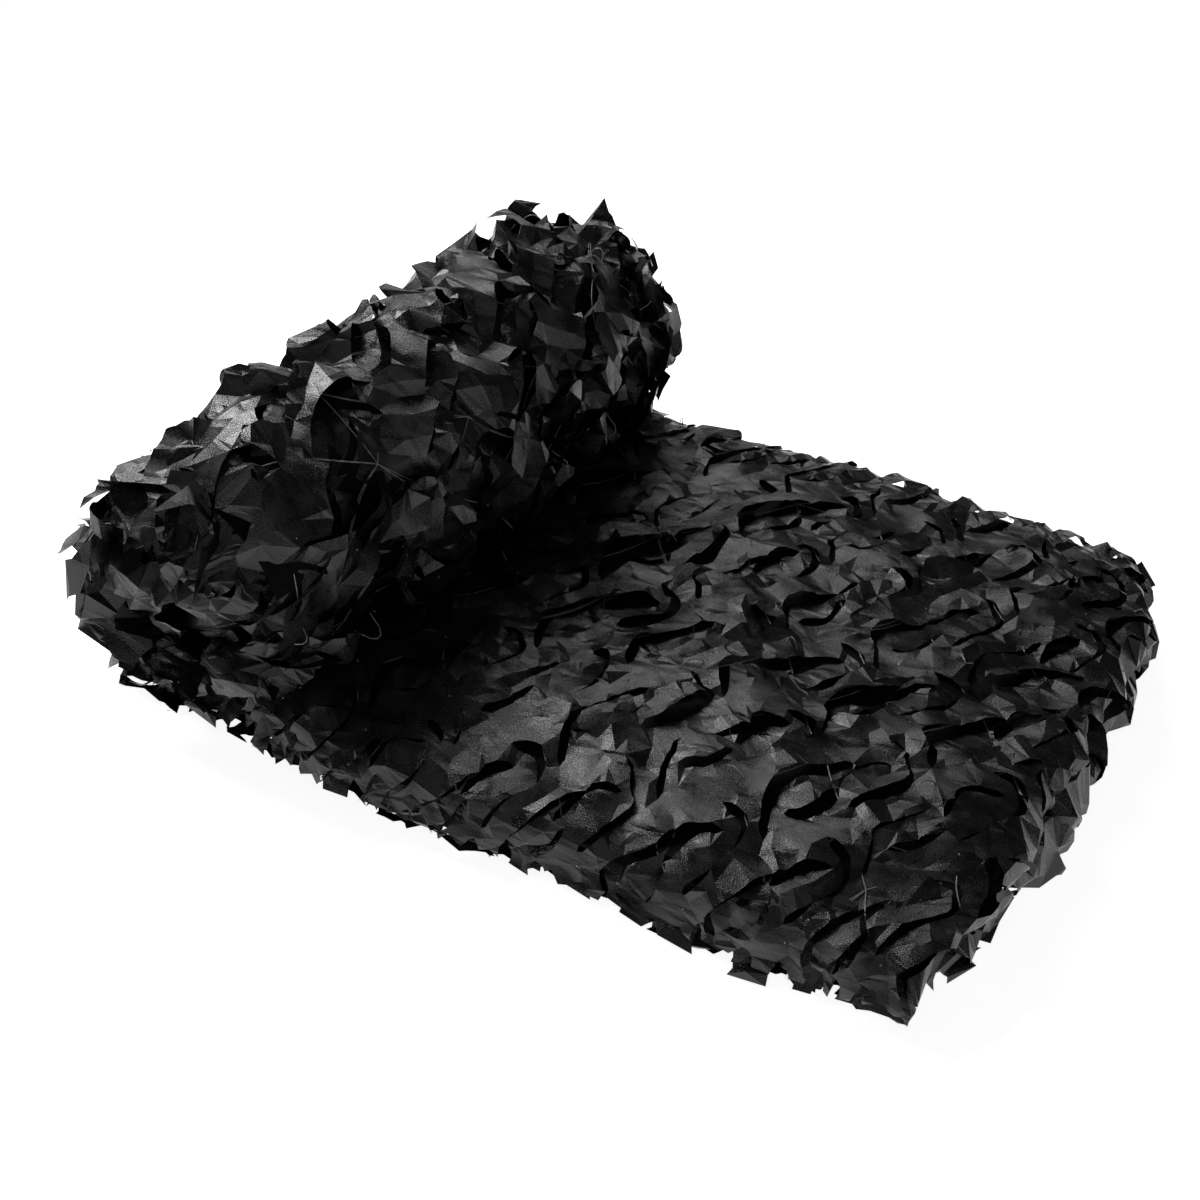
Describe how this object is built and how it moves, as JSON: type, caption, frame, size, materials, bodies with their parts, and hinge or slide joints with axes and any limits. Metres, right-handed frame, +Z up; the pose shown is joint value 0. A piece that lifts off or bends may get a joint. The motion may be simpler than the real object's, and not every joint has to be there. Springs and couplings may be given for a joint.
{
  "type": "camouflage net",
  "caption": "Black camouflage net of die-cut leafy cloth on a string mesh, folded back and forth into a flat slab, with the rest of its length rolled up on one end.",
  "frame": {"origin": "on the surface that the net lies on, under the middle of its box", "axes": "+X along the folded slab, from the rolled end to the folded free end; +Y along the roll, across the slab; +Z up"},
  "size_m": [1.1662, 0.894, 0.4417],
  "materials": {
    "cloth": "satin"
  },
  "bodies": {
    "root": {"net_cloth": "cloth"}
  },
  "joints": []
}
